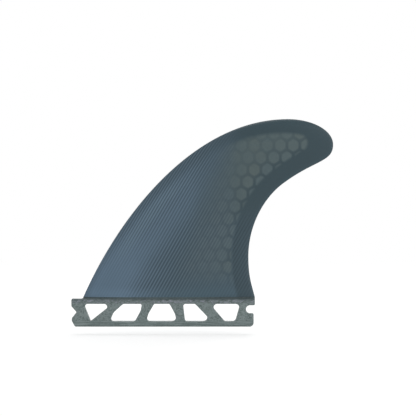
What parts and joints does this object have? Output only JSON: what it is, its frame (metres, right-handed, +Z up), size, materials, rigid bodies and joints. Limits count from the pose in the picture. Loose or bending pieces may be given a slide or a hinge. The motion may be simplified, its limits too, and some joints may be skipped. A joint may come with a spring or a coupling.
{
  "type": "surfboard fin",
  "caption": "Raked surfboard side fin: foiled laminate blade with a sealed hexagonal core mat, on a windowed base tab with a screw notch and a pin slot.",
  "frame": {"origin": "middle of the tab's foot, on the tab's mid-plane", "axes": "+Z up from the tab's foot to the tip, +X from the leading edge to the trailing edge and tip, +Y towards the flat inner face"},
  "size_m": [0.1662, 0.0066, 0.1318],
  "materials": {
    "tab_moulding": "satin, moulded with chopped fibre",
    "blade_laminate": "tinted glass laminate, semi-gloss",
    "core_mat": "resin-soaked mat"
  },
  "bodies": {
    "root": {"base_tab": "tab_moulding", "blade": "blade_laminate", "hex_core": "core_mat"}
  },
  "joints": []
}
